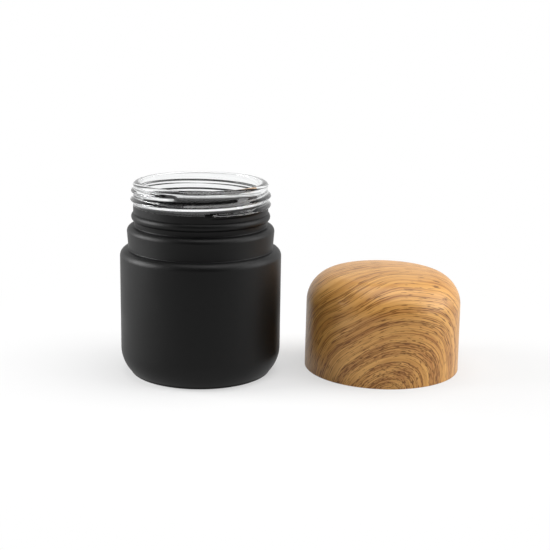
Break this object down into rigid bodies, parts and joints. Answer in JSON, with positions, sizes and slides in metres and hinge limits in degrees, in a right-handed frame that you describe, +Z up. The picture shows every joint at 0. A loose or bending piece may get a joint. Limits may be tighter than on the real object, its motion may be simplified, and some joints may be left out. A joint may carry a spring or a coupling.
{
  "type": "cosmetic cream jar",
  "caption": "Straight-sided glass cream jar with a stepped shoulder, threaded clear neck and matt black coat, with a domed wood-grain screw cap and its liner standing beside it",
  "frame": {"origin": "on the surface that jar and cap stand on, in the middle of the ground that the pair covers", "axes": "+X runs from the jar to the cap, +Y is away from the viewer of the picture, +Z is up, out of the jar's mouth"},
  "size_m": [0.1288, 0.0662, 0.072],
  "materials": {
    "clear_glass": "clear, polished pressed glass",
    "black_lacquer": "matt sprayed lacquer",
    "wood_print": "satin wood-grain transfer print on moulded ABS",
    "white_plastic": "natural white moulded polypropylene",
    "liner_foam": "fine-celled polyethylene foam"
  },
  "bodies": {
    "jar": {"glass_jar": "clear_glass", "black_coat": "black_lacquer"},
    "liner": {"sealing_liner": "liner_foam"},
    "cap": {"cap_shell": "wood_print", "inner_cap": "white_plastic"}
  },
  "joints": [
    {"name": "cap_lift", "type": "slide", "parent": "jar", "child": "liner", "axis": [0, 0, 1], "range_m": [0, 0.08]},
    {"name": "cap_turn", "type": "hinge", "parent": "liner", "child": "cap", "pos_m": [0.0349, 0.0036, 0], "axis": [0, 0, 1], "continuous": true}
  ]
}
